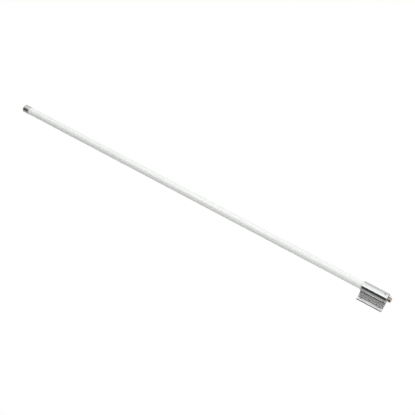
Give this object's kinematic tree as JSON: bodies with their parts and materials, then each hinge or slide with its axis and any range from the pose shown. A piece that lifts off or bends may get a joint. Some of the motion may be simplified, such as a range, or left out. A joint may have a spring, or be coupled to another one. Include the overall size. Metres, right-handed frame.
{
  "type": "omnidirectional antenna",
  "caption": "Tall white tube antenna with a polished metal end cap and a threaded coaxial jack at its foot, clamped in a winged aluminium mast bracket.",
  "frame": {"origin": "middle of the mast seat: on the plane of the bracket's two back pads, half-way between them and half-way up the bracket", "axes": "+Z along the antenna towards its cap, +Y from the bracket into the mast, +X across the bracket's wings"},
  "size_m": [0.071, 0.0475, 1.5],
  "materials": {
    "bracket_aluminium": "satin extruded",
    "ferrule_aluminium": "turned",
    "glass_fibre": "smooth gel coat",
    "nickel": "polished nickel plate",
    "plated_brass": "bright bronze plate",
    "brass": "drawn tube, bare",
    "copper": "bare copper",
    "ptfe": "machined PTFE",
    "foam": "closed-cell foam",
    "rubber": "moulded",
    "steel": "plain"
  },
  "bodies": {
    "bracket": {"mast_bracket": "bracket_aluminium"},
    "antenna": {"array_tube_01": "brass", "array_tube_02": "brass", "array_tube_03": "brass", "array_tube_04": "brass", "array_tube_05": "brass", "array_tube_06": "brass", "array_tube_07": "brass", "array_tube_08": "brass", "array_tube_09": "brass", "array_tube_10": "brass", "array_tube_11": "brass", "array_tube_12": "brass", "array_tube_13": "brass", "array_tube_14": "brass", "array_tube_15": "brass", "array_tube_16": "brass", "array_tube_17": "brass", "array_tube_18": "brass", "array_tube_19": "brass", "array_tube_20": "brass", "array_wire_01": "copper", "array_wire_02": "copper", "array_wire_03": "copper", "array_wire_04": "copper", "array_wire_05": "copper", "array_wire_06": "copper", "array_wire_07": "copper", "array_wire_08": "copper", "array_wire_09": "copper", "array_wire_10": "copper", "array_wire_11": "copper", "array_wire_12": "copper", "array_wire_13": "copper", "array_wire_14": "copper", "array_wire_15": "copper", "array_wire_16": "copper", "array_wire_17": "copper", "array_wire_18": "copper", "array_wire_19": "copper", "array_wire_20": "copper", "base_ferrule": "ferrule_aluminium", "choke_sleeve": "brass", "connector_body": "plated_brass", "connector_contact": "plated_brass", "connector_gasket": "rubber", "connector_insulator": "ptfe", "connector_lock_washer": "steel", "connector_nut": "steel", "feed_cable_core": "copper", "feed_cable_shield": "copper", "foam_spacer_1": "foam", "foam_spacer_2": "foam", "foam_spacer_3": "foam", "foam_spacer_4": "foam", "radome_tube": "glass_fibre", "top_cap": "nickel", "top_cap_seal": "rubber", "top_cushion": "foam"},
    "clamp_screw": {"set_screw": "steel"}
  },
  "joints": [
    {"name": "antenna_lift", "type": "slide", "parent": "bracket", "child": "antenna", "axis": [0, 0, 1], "range_m": [0, 0.1]},
    {"name": "clamp_screw_travel", "type": "slide", "parent": "bracket", "child": "clamp_screw", "axis": [0, -1, 0], "range_m": [0, 0.003]}
  ]
}
